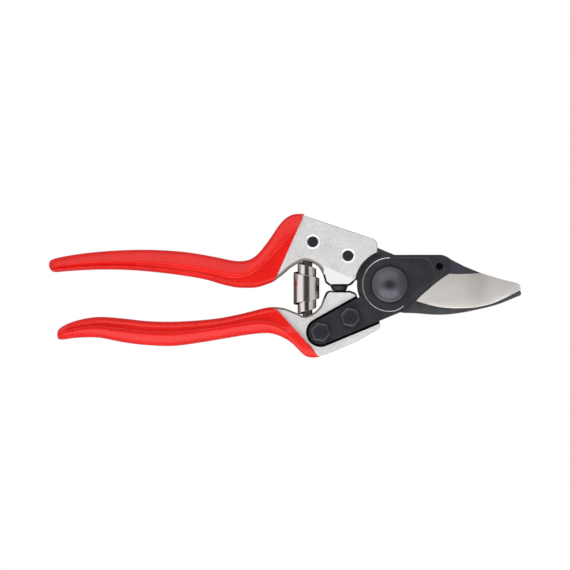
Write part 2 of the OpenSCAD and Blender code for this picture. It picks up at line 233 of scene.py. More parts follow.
def mouldedRubber():
    # moulded rubber: nearly black and matt
    material, tree = newMaterial("mouldedRubber")
    grain = noise(tree, 0.4, detail=2)
    finishMaterial(tree, {
        "Base Color": blendColours(tree, grain, "161617", "1D1D1E"), "Roughness": rangeOf(tree, grain, 0.5, 0.65),
        "Normal": bumps(tree, grain, 0.01)})
    return material


def zincPlate():
    # bright zinc over turned steel: cool grey with a soft sheen
    material, tree = newMaterial("zincPlatedSteel")
    haze = noise(tree, 0.8)
    finishMaterial(tree, {
        "Base Color": blendColours(tree, haze, "B4B8BD", "A7ABB0"), "Metallic": 1.0,
        "Roughness": rangeOf(tree, haze, 0.26, 0.36), "Normal": bumps(tree, haze, 0.003)})
    return material


def polishedSpring():
    # rolled and polished strip: mirror-like with faint drawing lines round the coil
    material, tree = newMaterial("polishedSpringSteel")
    lines = noise(tree, 0.25, stretch=(30, 1, 30), detail=1)
    finishMaterial(tree, {
        "Base Color": toLinear("D6D1CE"), "Metallic": 1.0,
        "Roughness": rangeOf(tree, lines, 0.18, 0.26), "Normal": bumps(tree, lines, 0.002)})
    return material


def redEnamel():
    # stoved enamel on the catch: even red with a wet gloss
    material, tree = newMaterial("stovedEnamel")
    peel = noise(tree, 1.5, detail=1)
    finishMaterial(tree, {
        "Base Color": toLinear("CF1D18"), "Roughness": rangeOf(tree, peel, 0.18, 0.26),
        "Coat Weight": 0.5, "Coat Roughness": 0.08, "Normal": bumps(tree, peel, 0.006)})
    return material


aluminium = castAluminium()
countersink = cutAluminium()
facetMetal = cutAluminium("groundAluminium", "E4E4E3", 0.5)
# painted shade: a dark grey for the arch flanks, nose walls and pegs
shadeFlankMetal = shadeFlankMaterial()
# painted shade: a light grey for the rounded edges, bolt bores and nut pockets
shadeRimMetal = shadeFlankMaterial("paintedShadeEdge", "A8A09A", "B9B4AF")
vinyl = dippedVinyl()
bladeCoat = coatedBlade()
# painted light: a lighter copy of the blade coat for the face beyond the crease
litFacetCoat = coatedBlade("paintedLightBladeFacet", "303038", "36363F")
counterCoat = coatedCounterBlade()
ground = groundSteel()
blackSteel = blackOxide()
boltSteel = blackOxide("blackOxideBolt", 0.3, 1.7)
rivetSteel = blackOxide("blackenedRivet", 0.5, 1.35)
# painted highlight for the bright wall of the recess round the pivot
edgeHighlight = edgeHighlightMaterial()
# painted shadow for the pocket round the tang and the blade's small hole
shadowBlack = shadowBlackMaterial()
rubber = mouldedRubber()
zinc = zincPlate()
springSteel = polishedSpring()
enamel = redEnamel()
print("materials made")


# outlines and solids are in millimetres until a piece is finished
def vectors(points):
    return [Vector(p) for p in points]


def curve(knots, steps=5):
    # a smooth line through the knots
    points = []
    last = len(knots) - 1
    for i in range(last):
        a, b, c, d = (Vector(knots[k]) for k in (max(i - 1, 0), i, i + 1, min(i + 2, last)))
        for k in range(steps):
            t = k / steps
            points.append(0.5 * (2 * b + (c - a) * t + (2 * a - 5 * b + 4 * c - d) * t * t
                                 + (3 * b - a - 3 * c + d) * t ** 3))
    points.append(Vector(knots[last]))
    return points


def arc(radius, start, end, steps=12, centre=(0, 0)):
    turns = [math.radians(start + (end - start) * i / steps) for i in range(steps + 1)]
    return [Vector((centre[0] + radius * math.cos(a), centre[1] + radius * math.sin(a))) for a in turns]


def sampled(points, count):
    # the same line with count + 1 points at even distances
    places = [0]
    for a, b in zip(points, points[1:]):
        places.append(places[-1] + (b - a).length)
    result = []
    for i in range(count + 1):
        want = places[-1] * i / count
        k = next((n for n in range(1, len(places)) if places[n] >= want - 1e-9), len(places) - 1)
        share = (want - places[k - 1]) / max(places[k] - places[k - 1], 1e-9)
        result.append(points[k - 1].lerp(points[k], min(share, 1)))
    return result


def outlineSolid(points, low, high, draft=0.0, index=0, wallIndex=None):
    # an upright solid; a draft leans its walls outwards towards the top
    bm = bmesh.new()
    base = bm.faces.new([bm.verts.new((p[0], p[1], low)) for p in points])
    grown = bmesh.ops.extrude_face_region(bm, geom=[base])["geom"]
    top = [v for v in grown if isinstance(v, bmesh.types.BMVert)]
    bmesh.ops.translate(bm, vec=(0, 0, high - low), verts=top)
    bmesh.ops.holes_fill(bm, edges=bm.edges)
    bmesh.ops.recalc_face_normals(bm, faces=bm.faces)
    if draft:
        outward = {v: sum((f.normal for f in v.link_faces if abs(f.normal.z) < 0.5), Vector()) for v in top}
        for v, direction in outward.items():
            v.co += direction.normalized() * draft
    for face in bm.faces:
        isWall = wallIndex is not None and abs(face.normal.z) < 0.9
        face.material_index = wallIndex if isWall else index
    return bm


def softened(bm, width, segments=2, least=30, chosen=lambda edge: True, index=-1):
    edges = [e for e in bm.edges if len(e.link_faces) == 2 and chosen(e)
             and e.calc_face_angle(0) > math.radians(least)]
    bmesh.ops.bevel(bm, geom=edges, offset=width, offset_type="OFFSET", affect="EDGES", segments=segments,
                    profile=0.5, material=index, clamp_overlap=True)
    return bm


# solids keep their material numbers while they cut each other, by as many stand-in materials
placeholders = [bpy.data.materials.new("placeholder") for _ in range(5)]


def scratchObject(bm):
    mesh = bpy.data.meshes.new("scratch")
    for placeholder in placeholders:
        mesh.materials.append(placeholder)
    bm.to_mesh(mesh)
    bm.free()
    scratch = bpy.data.objects.new("scratch", mesh)
    bpy.context.scene.collection.objects.link(scratch)
    return scratch


def cutAway(bm, cutters):
    base = scratchObject(bm)
    tools = [scratchObject(cutter) for cutter in cutters]
    for tool in tools:
        cut = base.modifiers.new("cut", "BOOLEAN")
        cut.object = tool
        cut.operation = "DIFFERENCE"
        cut.solver = "EXACT"
    shaped = base.evaluated_get(bpy.context.evaluated_depsgraph_get())
    result = bmesh.new()
    result.from_mesh(shaped.to_mesh())
    shaped.to_mesh_clear()
    for scratch in [base] + tools:
        mesh = scratch.data
        bpy.data.objects.remove(scratch)
        bpy.data.meshes.remove(mesh)
    return result


def cutBeyond(bm, point, normal):
    # takes off what lies on the side that normal points to, and closes the cut
    cut = bmesh.ops.bisect_plane(bm, geom=bm.verts[:] + bm.edges[:] + bm.faces[:], dist=1e-5,
                                 plane_co=point, plane_no=normal, clear_outer=True)
    edges = [e for e in cut["geom_cut"] if isinstance(e, bmesh.types.BMEdge)]
    bmesh.ops.contextual_create(bm, geom=edges)
    bmesh.ops.recalc_face_normals(bm, faces=bm.faces)


seamAngle = 4  # where two materials meet, any turn above this many degrees shows as an edge


def finishPiece(name, bm, materials, body, nodes=(), sharp=32, metres=False):
    if not metres:
        bmesh.ops.scale(bm, vec=(mm, mm, mm), verts=bm.verts)
    bmesh.ops.remove_doubles(bm, verts=bm.verts, dist=1e-7)
    for edge in bm.edges:
        limit = sharp if len({f.material_index for f in edge.link_faces}) == 1 else seamAngle
        edge.smooth = len(edge.link_faces) == 2 and edge.calc_face_angle(0) < math.radians(limit)
    for face in bm.faces:
        face.smooth = True
    mesh = bpy.data.meshes.new(name)
    for material in materials:
        mesh.materials.append(material)
    bm.to_mesh(mesh)
    bm.free()
    piece = bpy.data.objects.new(name, mesh)
    bpy.context.scene.collection.objects.link(piece)
    if body:
        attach(piece, body)
    if nodes:
        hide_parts(*nodes)
    return piece


def keepFlatFaces(piece):
    # big flat faces keep their own normal, so only the rounded edges shade softly
    weighted = piece.modifiers.new("flatFaces", "WEIGHTED_NORMAL")
    weighted.keep_sharp = True
    weighted.weight = 80


hookGrip = {
    "outer": [(-151.3, 8.3), (-150.2, 10.9), (-144, 12.6), (-132, 14.3), (-118, 15.3), (-104, 15.4), (-90, 14.4),
              (-78, 12.4), (-67, 10.4), (-60, 12.2), (-54, 19), (-48.3, 27.2), (-44.2, 30.6), (-41, 31.4),
              (-37.8, 31.35)],
    "inner": [(-151.3, 8.3), (-149.2, 5.6), (-142, 6), (-130, 6.6), (-117, 6.5), (-104, 5.5), (-92, 4),
              (-82, 2.3), (-74, 0), (-68, -1.3), (-62, -1.5), (-58.6, -1.2), (-56, -0.5),
              (-53.7, 0.3), (-51.1, 1.4)],
    "flangeShare": [(0, 0.62), (0.3, 0.66), (0.62, 0.6), (0.8, 0.52), (0.9, 0.4), (1, 0.13)],
}
bladeGrip = {
    "outer": [(-147.6, -22.4), (-146.3, -24.5), (-139, -23.7), (-129, -23.6), (-118, -25.7), (-108, -26.9),
              (-96, -27.3), (-84, -25.8), (-72, -23.8), (-61, -22.1), (-52, -21.8), (-44, -25.4), (-37, -31.9),
              (-31, -32.2)],
    "inner": [(-147.6, -22.4), (-146.4, -19.4), (-140, -16.3), (-130, -14.4), (-119, -15), (-108, -16.2),
              (-97, -16.5), (-86, -16), (-76, -15), (-68, -13.5), (-62, -12.1), (-57, -10.8), (-53.5, -10.1),
              (-51, -10)],
    "flangeShare": [(0, 0.45), (0.4, 0.52), (0.8, 0.52), (1, 0.56)],
}
# webMargin is how far the web lies below the flange's crest, and sink the share of its height that the flange
# loses towards the ferrule
gripShape = {"ribWidth": 2.0, "webMargin": 2.75, "tipRound": 5.5, "sinkFrom": 0.8, "sink": 0.2, "lip": 0.4,
             "lipHold": 0.85, "lipStep": 0.25}


def atShare(table, s):
    # the value at s in a table of (place, value)
    for (s0, v0), (s1, v1) in zip(table, table[1:]):
        if s <= s1:
            return v0 + (v1 - v0) * (s - s0) / (s1 - s0)
    return table[-1][1]


def halfSection(width, flange, depth, web, rib):
    # distance from the outer edge and half depth: a flange that rises towards the web, the web and a thin rib
    ribEdge = width - rib
    return [(0, 0.0), (0.0, 0.3 * depth), (0.04 * flange, 0.5 * depth), (0.16 * flange, 0.67 * depth),
            (0.42 * flange, 0.82 * depth), (0.68 * flange, 0.93 * depth), (0.88 * flange, depth),
            (0.97 * flange, 0.94 * depth), (flange + 0.02 * width, web + 0.4), (flange + 0.06 * width, web),
            ((flange + ribEdge) / 2, web), (ribEdge - 0.2 * rib, web), (ribEdge + 0.1 * rib, web + 0.35),
            (ribEdge + 0.35 * rib, web + 0.4), (ribEdge + 0.62 * rib, 0.8 * web), (ribEdge + 0.9 * rib, 0.5 * web),
            (width, 0.25 * web), (width, 0)]


def growRing(bm, ring, places, closed=True):
    # carries a row of points on to new places, with faces between
    pairs = zip(ring, ring[1:] + ring[:1]) if closed else zip(ring, ring[1:])
    edges = [bm.edges.get(pair) for pair in pairs]
    grown = bmesh.ops.extrude_edge_only(bm, edges=edges)["geom"]
    fresh = {v for v in grown if isinstance(v, bmesh.types.BMVert)}
    following = [next(e.other_vert(v) for e in v.link_edges if e.other_vert(v) in fresh) for v in ring]
    for v, place in zip(following, places):
        v.co = place
    return following


def ringPlaces(outer, inner, share, depth, web, shrink=0.0):
    across = inner - outer
    width = across.length
    across = across / width
    rib = min(gripShape["ribWidth"], 0.25 * width)
    section = halfSection(width, share * width, depth, web, rib)
    loop = section + [(d, -h) for d, h in reversed(section[1:-1])]
    places = []
    for d, h in loop:
        d = min(max(d, shrink), width - shrink)
        h = math.copysign(max(abs(h) - shrink, 0), h)
        places.append(Vector((outer.x + across.x * d, outer.y + across.y * d, headMid + h)))
    return places


def makeGrip(name, look, body, node):
    outer, inner = curve(look["outer"]), curve(look["inner"])
    shape = gripShape
    fullDepth = (gripHigh - gripLow) / 2
    fullWeb = headMid - gripLow - shape["webMargin"]
    last = len(outer) - 1
    bm = bmesh.new()
    ring = None
    for i in range(1, last + 1):
        s = i / last
        flange = atShare(look["flangeShare"], s)
        along = ((outer[i] + inner[i]) / 2 - outer[0]).length
        tip = math.sqrt(1 - (1 - min(along / shape["tipRound"], 1)) ** 2)
        depth = fullDepth * (1 - shape["sink"] * max(0, (s - shape["sinkFrom"]) / (1 - shape["sinkFrom"])))
        places = ringPlaces(outer[i], inner[i], flange, depth * tip, fullWeb * tip)
        if ring is None:
            ring = [bm.verts.new(p) for p in places]
            for pair in zip(ring, ring[1:] + ring[:1]):
                bm.edges.new(pair)
            bm.faces.new(ring)
            continue
        if i == last:
            ring = growRing(bm, ring, [v.co.lerp(place, shape["lipHold"]) for v, place in zip(ring, places)])
        ring = growRing(bm, ring, places)
    ahead = (outer[last] - outer[last - 1]).normalized() * shape["lipStep"]
    lip = ringPlaces(outer[last], inner[last], flange, depth, fullWeb, shrink=shape["lip"])
    ring = growRing(bm, ring, [p + Vector((ahead.x, ahead.y, 0)) for p in lip])
    bm.faces.new(ring)
    bmesh.ops.recalc_face_normals(bm, faces=bm.faces)
    piece = finishPiece(name, bm, [vinyl], body, [node], sharp=180)
    smooth = piece.modifiers.new("smooth", "SUBSURF")
    smooth.levels = smooth.render_levels = 2


makeGrip("hookGrip", hookGrip, "hook_side", "hook_handle_grip")
makeGrip("bladeGrip", bladeGrip, "blade_side", "blade_handle_grip")
print("grips made")


reliefRadius = 15.2
hookHead = {
    "topEdge": [(-38.35, 30.78), (-8, 20.55)], "cornerRadius": 3.4, "cornerCentre": (-8.7, 17.2),
    "noseFoot": [(-15.6, 1.2), (-16.5, 0), (-17.9, -0.6), (-26.5, -0.6)],
    "springArch": [(-28.4, 0.9), (-29.4, 4.4), (-31.8, 8.2), (-37.3, 10.4), (-42.8, 8.1), (-46.8, 4.8), (-51.5, 1.2)],
    "underGrip": [(-54, 3), (-42.5, 25.5)],
    "edgeRound": 0.5, "flankWidth": 1.3, "bandWidth": 3.2, "bandDrop": 0.4, "endX": -5.3, "endBand": 3.0,
    "endDrop": 0.9,
    "noseLine": [(-29.2, 8.4), (-14.2, 1.7)], "noseBelow": [(-29.2, -3), (-12, -3)], "noseSlope": 0.22,
    "noseRims": [((-14.3, 2.2), (-17.9, -0.6), 0.4), ((-17.2, -0.6), (-27.2, -0.6), 1.15),
                 ((-26.1, -0.9), (-28.8, 1.2), 1.5), ((-28.3, 0.4), (-29.4, 4.4), 1.1)],
    "ringWidth": 0.95, "ringDepth": 0.5, "pegMiddle": 9.6,
}
bladeHead = {
    "springArch": [(-51, -10), (-46.5, -10.6), (-42, -12.3), (-37.3, -14.1), (-33.2, -12.3), (-30.5, -9.5),
                   (-29.2, -6), (-28, -3.4)],
    "noseFoot": [(-26.8, -2.7), (-17.4, -2.7), (-15.4, -3.5), (-14.6, -4.3)],
    "front": (-4.3, -18.6), "cornerRadius": 2.2, "cornerCentre": (-6.4, -18.2),
    "bottom": [(-14, -25), (-26, -30.2), (-31.6, -31.9)], "underGrip": [(-35.5, -27), (-54, -12)],
    "bottomEdges": [[(-31, -32.2), (-14, -25)], [(-14, -25), (-5.4, -20.1)]],
    "edgeRound": 0.5, "flankWidth": 1.3, "bandWidth": 2.2, "bandDrop": 0.25, "rimDrop": 0.9,
    "pocketGap": 1.05, "pocketDraft": 0.25, "pocketMouth": (6, 0),
    "noseLine": [(-26.8, -10.2), (-16.2, -4.4)], "noseAbove": [(-17, -1.5), (-31, -1.5)], "noseSlope": 0.22,
    "noseRims": [((-29.2, -6), (-27.8, -2.95), 1.25), ((-28.4, -3.65), (-26.3, -2.45), 1.45),
                 ((-27.3, -2.7), (-16.9, -2.7), 0.95), ((-17.9, -2.5), (-14.9, -3.7), 0.25),
                 ((-15.8, -3.1), (-14.1, -4.8), 0.05)],
    "stripWidth": 2.0, "stripSlope": 0.12, "stripLength": 20, "stripReach": 3, "pegMiddle": -13.2,
}
noseRim = {"width": 0.85, "reach": 2.5, "slope": 2.2}
peg = {"axisX": -37, "radius": 1.4, "length": 5}
tang = {"endCentre": (-30.5, -21.2), "endRadius": 5.3, "upperTurn": 120, "lowerTurn": 292.7,
        "upperStart": (-12.2, -4.9), "discRadius": 13.2}
rivet = {"radius": 2.2, "bulge": 0.12, "crown": 0.4, "lowSink": 0.3, "highSink": 0.15}
rivetPlaces = [(-18.4, 12.7), (-34, 18.9)]
bladeBolt = {"tilt": -12, "halfWidth": 4, "shoulder": 1.9, "height": 2.6, "chamfer": 0.8, "edgeRound": 0.12,
             "shank": 2.5, "shankLift": 0.2, "bore": 2.6, "nutPocket": 4.12}
boltPlaces = [(-17.4, -14.5), (-30.6, -21.1)]
nutHigh = span("blade_nut_front", 2)[1]


def leftOf(start, end):
    # unit vector to the left of a line
    along = (Vector(end) - Vector(start)).normalized()
    return Vector((-along.y, along.x))


def cutBand(bm, start, outward, width, drop, z, flip):
    # a sloping band along a straight edge of the face at z; flip is 1 on top and -1 underneath
    onFace = Vector(start) - outward * width
    slope = Vector((outward.x * drop, outward.y * drop, flip * width)).normalized()
    cutBeyond(bm, (onFace.x, onFace.y, z), slope)


def fallingCutter(points, start, end, slope, top, index=0):
    # cuts a facet that falls away to the left of a line across the face
    left = leftOf(start, end)
    bm = outlineSolid(points, top, top + 6, index=index)
    for v in bm.verts:
        if v.co.z < top + 1:
            v.co.z -= slope * max(0, (v.co.xy - Vector(start)).dot(left))
    return bm


def hexagon(place, halfWidth):
    tilt = bladeBolt["tilt"]
    return arc(halfWidth / math.cos(math.pi / 6), tilt, tilt + 300, 5, place)


def roundCutter(place, radius, topRadius, low, high, index=0):
    bm = bmesh.new()
    turn = Matrix.Translation((place[0], place[1], (low + high) / 2))
    bmesh.ops.create_cone(bm, cap_ends=True, segments=48, radius1=radius, radius2=topRadius, depth=high - low,
                          matrix=turn)
    for face in bm.faces:
        face.material_index = index
    return bm


def roundedRim(bm, look):
    # a broad chamfer along the spring's arch, painted dark as shade, and a small rounding along every other level edge,
    # painted light grey as shade
    arch = curve(look["springArch"], 8)
    near, level = 0.4, 3

    def onArch(edge):
        return any(f.normal.z ** 2 > 0.9 for f in edge.link_faces) and all(
            min((v.co.xy - p).length for p in arch) < near for v in edge.verts)

    edges = [e for e in bm.edges if onArch(e)]
    fresh = bmesh.ops.bevel(bm, geom=edges, offset=look["flankWidth"], offset_type="OFFSET", affect="EDGES",
                            segments=2, profile=0.5, material=2, clamp_overlap=True)["faces"]
    flank = set(fresh)
    softened(bm, look["edgeRound"], 3, 30, lambda e: abs(e.verts[0].co.z - e.verts[1].co.z) < level
             and not flank.intersection(e.link_faces), 3)


def noseCutters(look, top):
    # steep walls along the nose's edges, painted dark as shade, each falling away to the left of its line
    cutters = []
    for start, end, drop in look["noseRims"]:
        left = leftOf(start, end)
        a, b = (Vector(p) - left * noseRim["width"] for p in (start, end))
        reach = left * noseRim["reach"]
        cutters.append(fallingCutter([a, b, b + reach, a + reach], a, b, noseRim["slope"], top - drop, 2))
    return cutters


def addPeg(bm, middle):
    # the peg that seats one end of the spring, painted in the dark shade grey
    turn = Matrix.Translation((peg["axisX"], middle, headMid)) @ Matrix.Rotation(math.radians(90), 4, "X")
    made = bmesh.ops.create_cone(bm, cap_ends=True, segments=32, radius1=peg["radius"], radius2=peg["radius"],
                                 depth=peg["length"], matrix=turn)
    for face in {f for v in made["verts"] for f in v.link_faces}:
        face.material_index = 2


def makeHookHead():
    look = hookHead
    outline = vectors(look["topEdge"]) + arc(look["cornerRadius"], 70, 0, 6, look["cornerCentre"])
    outline += arc(reliefRadius, 110.4, 174, 16) + vectors(look["noseFoot"])
    outline += curve(look["springArch"])[:-1] + vectors(look["underGrip"])
    bm = outlineSolid(list(reversed(outline)), headLow, headHigh)
    for flip, z in ((1, headHigh), (-1, headLow)):
        cutBand(bm, look["topEdge"][0], leftOf(*look["topEdge"]), look["bandWidth"], look["bandDrop"], z, flip)
        cutBand(bm, (look["endX"], 0), Vector((1, 0)), look["endBand"], look["endDrop"], z, flip)
    roundedRim(bm, look)
    cutters = []
    over, depth = 0.2, look["ringDepth"]
    for place in rivetPlaces:
        inner = rivet["radius"] - 0.05
        outer = inner + look["ringWidth"] * (1 + over / depth)
        cutters.append(roundCutter(place, inner, outer, headHigh - depth, headHigh + over, 1))
        cutters.append(roundCutter(place, outer, inner, headLow - over, headLow + depth, 1))
    # the nose falls away below a slanting line
    start, end = look["noseLine"]
    nose = [start] + look["noseBelow"] + [end]
    cutters.append(fallingCutter(nose, end, start, look["noseSlope"], headHigh, 4))
    cutters += noseCutters(look, headHigh)
    bm = cutAway(bm, cutters)
    addPeg(bm, look["pegMiddle"])
    piece = finishPiece("hookHead", bm, [aluminium, countersink, shadeFlankMetal, shadeRimMetal, facetMetal], "hook_side",
                        ["hook_handle"])
    keepFlatFaces(piece)


def makeRivet(name, place, node):
    radius, bulge, crown = rivet["radius"], rivet["bulge"], rivet["crown"]
    low, high = headLow + rivet["lowSink"], headHigh - rivet["highSink"]
    profile = [(0, low - bulge), (radius - crown, low - bulge), (radius, low), (radius, high),
               (radius - crown, high + bulge), (0, high + bulge)]
    finishPiece(name, spun(profile, 48, place), [rivetSteel], "hook_side", [node], sharp=40)


def tangOutline(gap):
    # the blade's tang, from the disc round its end and back, grown by a gap for its pocket
    start, end = Vector(tang["upperStart"]), tang["endCentre"]
    upper = math.radians(tang["upperTurn"])
    first = start + Vector((math.cos(upper), math.sin(upper))) * gap
    return [first] + arc(tang["endRadius"] + gap, tang["upperTurn"], tang["lowerTurn"], 16, end)


def makeBladeHead():
    look = bladeHead
    rimTop = bladeHigh - look["rimDrop"]
    outline = curve(look["springArch"]) + vectors(look["noseFoot"])
    outline += arc(reliefRadius, 197, 253.5, 16) + [Vector(look["front"])]
    outline += arc(look["cornerRadius"], -20, -62, 4, look["cornerCentre"])
    outline += vectors(look["bottom"] + look["underGrip"])
    bm = outlineSolid(list(reversed(outline)), headLow, rimTop)
    for start, end in look["bottomEdges"]:
        for flip, z in ((1, rimTop), (-1, headLow)):
            cutBand(bm, start, -leftOf(start, end), look["bandWidth"], look["bandDrop"], z, flip)
    roundedRim(bm, look)
    lower, radius = math.radians(tang["lowerTurn"]), tang["discRadius"] + look["pocketGap"]
    onDisc = Vector((radius * math.cos(lower), radius * math.sin(lower)))
    pocket = tangOutline(look["pocketGap"]) + [onDisc, Vector(look["pocketMouth"])]
    # the pocket's floor and walls take the painted shadow
    cutters = [outlineSolid(pocket, bladeLow, bladeHigh + 1, draft=look["pocketDraft"], index=1, wallIndex=1)]
    start, end = look["noseLine"]
    cutters.append(fallingCutter([start, end] + look["noseAbove"], start, end, look["noseSlope"], rimTop))
    # a bright strip falls into the pocket along its upper edge
    upper = math.radians(tang["upperTurn"])
    outward = Vector((math.cos(upper), math.sin(upper)))
    start = Vector(tang["upperStart"]) + outward * (look["pocketGap"] + look["stripWidth"])
    end = start + look["stripLength"] * Vector((-outward.y, outward.x))
    reach = look["stripReach"] * outward
    cutters.append(fallingCutter([start, end, end - reach, start - reach], start, end, look["stripSlope"], rimTop, 4))
    cutters += noseCutters(look, rimTop)
    for place in boltPlaces:
        # the bores and nut pockets take the light grey painted shade
        cutters.append(roundCutter(place, bladeBolt["bore"], bladeBolt["bore"], headLow - 1, bladeLow + 1, 3))
        cutters.append(outlineSolid(hexagon(place, bladeBolt["nutPocket"]), headLow - 1, nutHigh, index=3))
    bm = cutAway(bm, cutters)
    addPeg(bm, look["pegMiddle"])
    piece = finishPiece("bladeHead", bm, [aluminium, shadowBlack, shadeFlankMetal, shadeRimMetal, facetMetal], "blade_side",
                        ["blade_handle"])
    keepFlatFaces(piece)


makeHookHead()
makeBladeHead()
print("heads made")


cuttingBlade = {
    "bevelLine": [(12.2, -6.8), (14, -5), (17, -2.4), (20, 0.2), (23, 2.5), (26.5, 4.8)],
    "bevelTop": [(26.5, 4.8), (30, 4.6), (35, 4.75), (40.5, 5.1)],
    "spine": [(40.5, 5.1), (45, 3.7), (50, 2.3), (54.5, 1.2), (57, 0.6), (57.9, -0.2), (58.3, -1.6)],
    "edge": [(11.7, -7.2), (17, -8.8), (24, -10.2), (31, -10.5), (38, -10.1), (45, -8.6), (51.5, -5.9),
             (58.4, -2.5)],
    "back": [(33, 8.2), (27.5, 11), (25.6, 12.3), (23.6, 13.1), (22, 13.2)],
    "columns": 12, "rows": (0.25, 0.5, 0.75, 0.96, 1.0), "edgeRise": 0.35, "edgeDrop": 0.18, "slope": 0.19,
    "belly": 0.15, "bellyWidth": 15, "facetX": 27, "facetFall": 0.065, "edgeRound": 0.35, "bore": 4.05,
    "hole": (22.2, 8.1), "holeRadius": 1.6, "holeFloor": 0.6, "recess": 0.2, "recessRadius": 11.7,
    "recessDraft": 0.8, "highlightUpper": 4, "highlightLower": 6,
    "recessEdge": [(4.9, -10.3), (7.5, -8.2), (9.5, -5.9), (11.7, -3.3), (16, -0.5), (20.6, 2.5), (19.6, 5.6),
                   (18.4, 9), (16.7, 11.3), (14, 11.7)],
}


def makeCuttingBlade():
    look = cuttingBlade
    count = look["columns"]
    boundary = sampled(curve(look["bevelLine"]), count) + sampled(curve(look["bevelTop"]), count)[1:]
    black = len(boundary)
    spine = sampled(curve(look["spine"]), count)[1:]
    upper = boundary + spine
    lower = sampled(curve(look["edge"]), len(upper) - 1)

    def faceHeight(p):
        return bladeHigh - max(0, p.x - look["facetX"]) * look["facetFall"]

    def raised(p, z):
        return Vector((p.x, p.y, z))

    bm = bmesh.new()
    floor = bladeLow + look["edgeRise"]
    widths = [(b - a).length for a, b in zip(upper, lower)]
    heights = [faceHeight(p) for p in boundary]
    heights += [min(heights[-1], floor + look["slope"] * w) for w in widths[black:]]
    rows = [[bm.verts.new(raised(p, z)) for p, z in zip(upper, heights)]]
    for pair in zip(rows[0], rows[0][1:]):
        bm.edges.new(pair)
    # the ground face drops evenly towards the edge with a slight belly, then steeper at the very edge
    for t in look["rows"]:
        places = []
        for a, b, z, w in zip(upper, lower, heights, widths):
            edgeHeight = max(floor, z - look["slope"] * w)
            height = z + (edgeHeight - z) * t + look["belly"] * (w / look["bellyWidth"]) * 4 * t * (1 - t) * 0.5
            places.append(raised(a.lerp(b, t), edgeHeight - look["edgeDrop"] if t == 1.0 else height))
        rows.append(growRing(bm, rows[-1], places, closed=False))
    for face in bm.faces:
        face.material_index = 1
    # the coated face: round the disc and tang and back along the bevel's boundary
    disc = tang["discRadius"]
    back = vectors(look["back"] + [(12, disc)]) + arc(disc, 90, 201.9, 24)
    back += tangOutline(0)[1:] + arc(disc, tang["lowerTurn"], 326, 8)
    around = [bm.verts.new(raised(p, faceHeight(p))) for p in back]
    coated = bm.faces.new(list(reversed(rows[0][:black])) [:1] + around + rows[0][:black - 1])
    coated.material_index = 0
    bmesh.ops.bisect_plane(bm, geom=[coated] + list(coated.edges) + list(coated.verts), dist=1e-5,
                           plane_co=(look["facetX"], 0, 0), plane_no=(1, 0, 0))
    # the face beyond the crease takes the lighter coat: painted light
    for face in bm.faces:
        if face.material_index == 0 and face.calc_center_median().x > look["facetX"]:
            face.material_index = 3
    bmesh.ops.recalc_face_normals(bm, faces=bm.faces)
    rim = [e for e in bm.edges if e.is_boundary]
    sides = bmesh.ops.extrude_edge_only(bm, edges=rim)["geom"]
    for v in sides:
        if isinstance(v, bmesh.types.BMVert):
            v.co.z = bladeLow
    for face in sides:
        if isinstance(face, bmesh.types.BMFace):
            face.material_index = 0
    bottom = [e for e in bm.edges if e.is_boundary]
    bmesh.ops.contextual_create(bm, geom=bottom)
    bmesh.ops.recalc_face_normals(bm, faces=bm.faces)
    softened(bm, look["edgeRound"], 2, 50, lambda e: min(v.co.z for v in e.verts) > bladeHigh - 0.9
             and any(abs(f.normal.z) < 0.3 for f in e.link_faces))
    # a shallow recess round the pivot, its wall painted bright as a highlight except towards the blade's point
    recess = arc(look["recessRadius"], 90, 285, 36) + curve(look["recessEdge"], 4)
    step = outlineSolid(recess, bladeHigh - look["recess"], bladeHigh + 0.3, draft=look["recessDraft"], wallIndex=2)
    for face in step.faces:
        middle = face.calc_center_median()
        if middle.x > (look["highlightUpper"] if middle.y > 0 else look["highlightLower"]):
            face.material_index = 0
    hole, radius, bore = look["hole"], look["holeRadius"], look["bore"]
    # the small hole's floor and wall take the painted shadow black
    cutters = [step,
               roundCutter(hole, radius + 0.7, radius + 1, bladeHigh - 0.15, bladeHigh + 0.15),
               roundCutter(hole, radius, radius, bladeLow + look["holeFloor"], bladeHigh + 1, 4),
               roundCutter((0, 0), bore, bore, bladeLow - 1, bladeHigh + 1)]
    bm = cutAway(bm, cutters)
    piece = finishPiece("cuttingBlade", bm, [bladeCoat, ground, edgeHighlight, litFacetCoat, shadowBlack], "blade_side",
                        ["cutting_blade"], sharp=28)
    keepFlatFaces(piece)


counterBlade = {
    "outer": [(6, -12.6), (12, -12.8), (20, -13.4), (28, -13.1), (38, -11.4), (48, -8.9), (56, -5.7),
              (58.2, -4.8), (58.6, -3.6), (58, -2.5)],
    "inner": [(13.2, -3), (16, -5.4), (20, -7), (27, -8.1), (34, -8.1), (41, -6.9), (48, -4.9), (54, -3.1),
              (58, -2.5)],
    "throatRadius": 12.9, "inHead": [(2.6, 13.1), (-5.3, 16.4), (-20, 20.6), (-24, 8), (-14.2, 1.6)],
    "discRadius": 14.3, "root": (4.6, -12.3), "edgeRound": 0.45, "bore": 4.03,
}


def makeCounterBlade():
    look = counterBlade
    outline = curve(look["outer"], 4) + list(reversed(curve(look["inner"], 4)))[1:]
    outline += arc(look["throatRadius"], -5, 70, 10) + vectors(look["inHead"])
    outline += arc(look["discRadius"], 176, 262, 16) + [Vector(look["root"])]
    bm = outlineSolid(outline, counterLow, counterHigh)
    softened(bm, look["edgeRound"], 2, 50, lambda e: any(abs(f.normal.z) > 0.99 for f in e.link_faces))
    bm = cutAway(bm, [roundCutter((0, 0), look["bore"], look["bore"], counterLow - 1, counterHigh + 1)])
    piece = finishPiece("counterBlade", bm, [counterCoat], "hook_side", ["counter_blade"], sharp=28)
    keepFlatFaces(piece)


makeCuttingBlade()
makeCounterBlade()
print("blades made")


